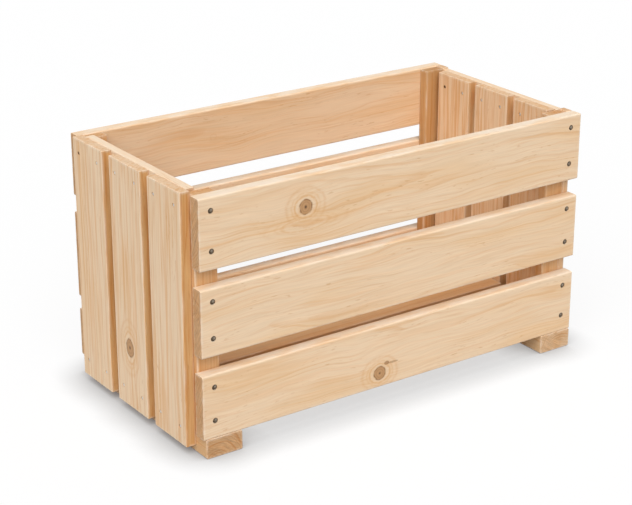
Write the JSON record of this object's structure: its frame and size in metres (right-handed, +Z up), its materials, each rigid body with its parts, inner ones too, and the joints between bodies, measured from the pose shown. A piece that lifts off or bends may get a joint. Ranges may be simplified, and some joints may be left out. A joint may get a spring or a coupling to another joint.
{
  "type": "wooden fruit crate",
  "caption": "Open-topped slatted pine crate, nailed together on corner posts and raised on runners, for carrying and storing fruit.",
  "frame": {"origin": "on the ground under the middle of the crate", "axes": "+X along the slats to the end with the inside boards, +Y to the back wall, +Z up"},
  "size_m": [0.61, 0.316, 0.343],
  "materials": {
    "pine": "planed, bare",
    "nail_steel": "dull, lightly weathered"
  },
  "bodies": {
    "root": {"front_bottom_slat": "pine", "front_middle_slat": "pine", "front_top_slat": "pine", "back_bottom_slat": "pine", "back_middle_slat": "pine", "back_top_slat": "pine", "front_left_post": "pine", "front_right_post": "pine", "back_left_post": "pine", "back_right_post": "pine", "left_end_board_1": "pine", "left_end_board_2": "pine", "left_end_board_3": "pine", "left_bottom_rail": "pine", "left_top_rail": "pine", "right_end_board_1": "pine", "right_end_board_2": "pine", "right_end_board_3": "pine", "right_bottom_rail": "pine", "right_top_rail": "pine", "right_front_stile": "pine", "right_back_stile": "pine", "floor_board_1": "pine", "floor_board_2": "pine", "floor_board_3": "pine", "left_floor_bearer": "pine", "right_floor_bearer": "pine", "left_runner": "pine", "right_runner": "pine", "front_slat_nails": "nail_steel", "back_slat_nails": "nail_steel", "left_end_nails": "nail_steel", "right_end_nails": "nail_steel", "floor_nails": "nail_steel"}
  },
  "joints": []
}
